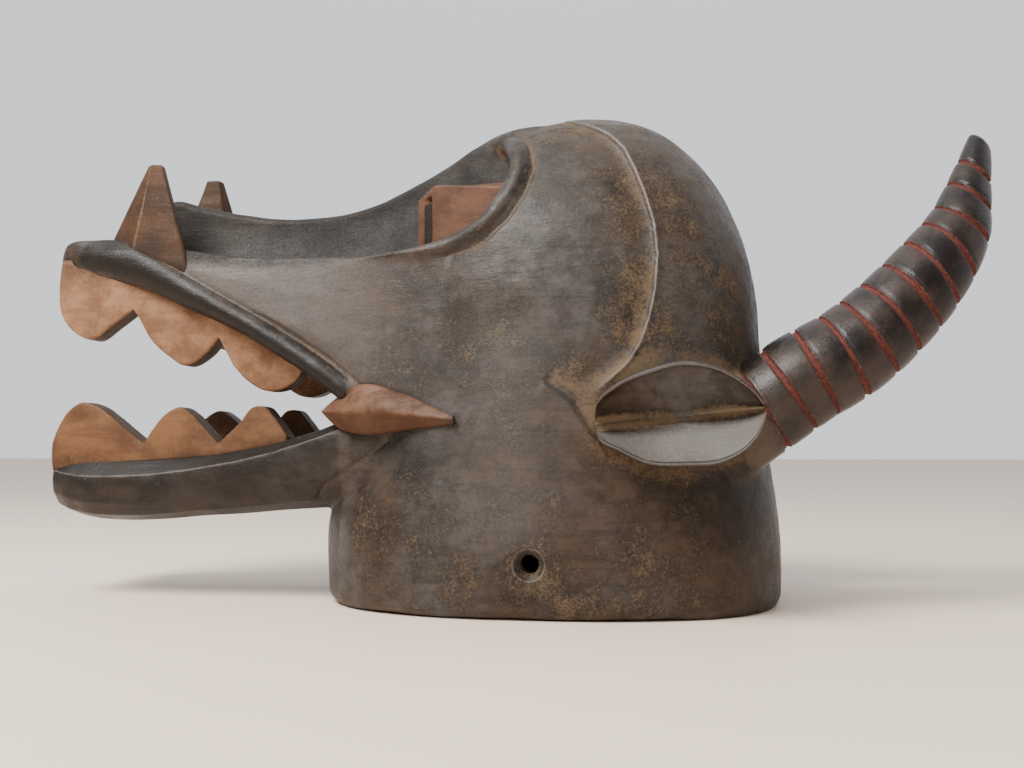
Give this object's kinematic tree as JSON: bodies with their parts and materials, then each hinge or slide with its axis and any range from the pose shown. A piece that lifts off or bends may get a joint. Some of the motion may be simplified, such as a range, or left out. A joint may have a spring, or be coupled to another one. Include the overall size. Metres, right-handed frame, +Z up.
{
  "type": "horned helmet mask with open jaws",
  "caption": "Carved wooden helmet mask of a horned beast: a long toothed snout, tusks, leaf-shaped ears and back-swept grooved horns on a hollow neck that stands on its rim.",
  "frame": {"origin": "on the floor, under the middle of the mask's box; the underside rim of the neck lies at z = 0", "axes": "+X from the snout to the horns, along the mask's length; +Z up; the wearer's left and right are -Y and +Y"},
  "size_m": [0.7242, 0.284, 0.3728],
  "materials": {
    "dark_wood": "waxed and worn, dusty in the hollows",
    "ochre_wood": "matt, rubbed with ochre",
    "red_paint": "matt red pigment on wood"
  },
  "bodies": {
    "root": {"mask": "dark_wood"}
  },
  "joints": []
}
